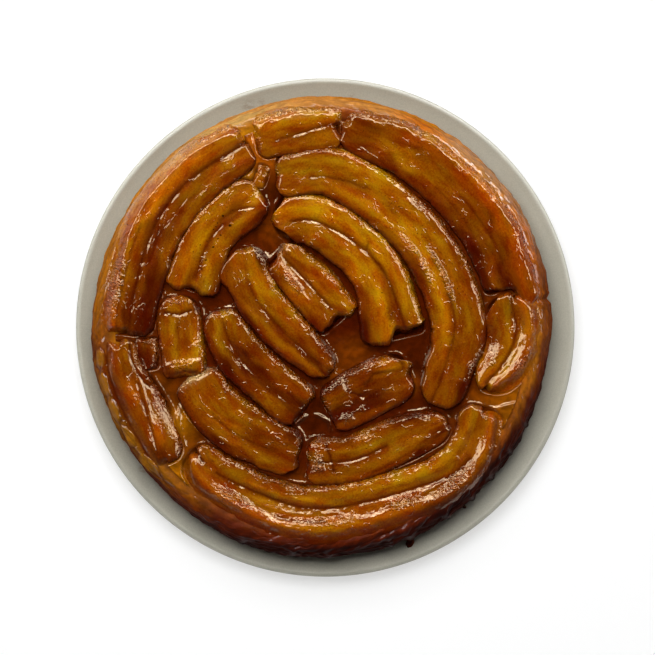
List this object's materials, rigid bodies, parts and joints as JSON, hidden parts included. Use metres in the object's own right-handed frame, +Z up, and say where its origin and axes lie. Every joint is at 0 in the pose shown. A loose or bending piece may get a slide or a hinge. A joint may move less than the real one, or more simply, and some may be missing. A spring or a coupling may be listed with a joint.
{
  "type": "tarte tatin",
  "caption": "Round tarte tatin of caramelised banana halves set in pastry, turned out on a flat stoneware plate.",
  "frame": {"origin": "middle of the plate's foot ring, on the table", "axes": "+Z up; +Y towards the side of the tart with the short piece in its outer ring"},
  "size_m": [0.272, 0.272, 0.0349],
  "materials": {
    "stoneware": "satin grey-beige glaze with a paler lip",
    "crust": "baked pastry soaked with caramel, pale gold to dark brown",
    "banana": "caramelised banana under a wet glaze, amber to dark brown"
  },
  "bodies": {
    "root": {"plate": "stoneware", "pastry": "crust", "banana_outer_left": "banana", "banana_outer_top": "banana", "banana_outer_right": "banana", "banana_outer_hook": "banana", "banana_outer_bottom": "banana", "banana_outer_low_left": "banana", "banana_small_left": "banana", "banana_seeded": "banana", "banana_long_arc": "banana", "banana_inner_arc": "banana", "banana_small_centre": "banana", "banana_centre": "banana", "banana_left_of_centre": "banana", "banana_stub": "banana", "banana_low_left": "banana", "banana_low_right": "banana", "banana_low_middle": "banana", "banana_crumb": "banana"}
  },
  "joints": []
}
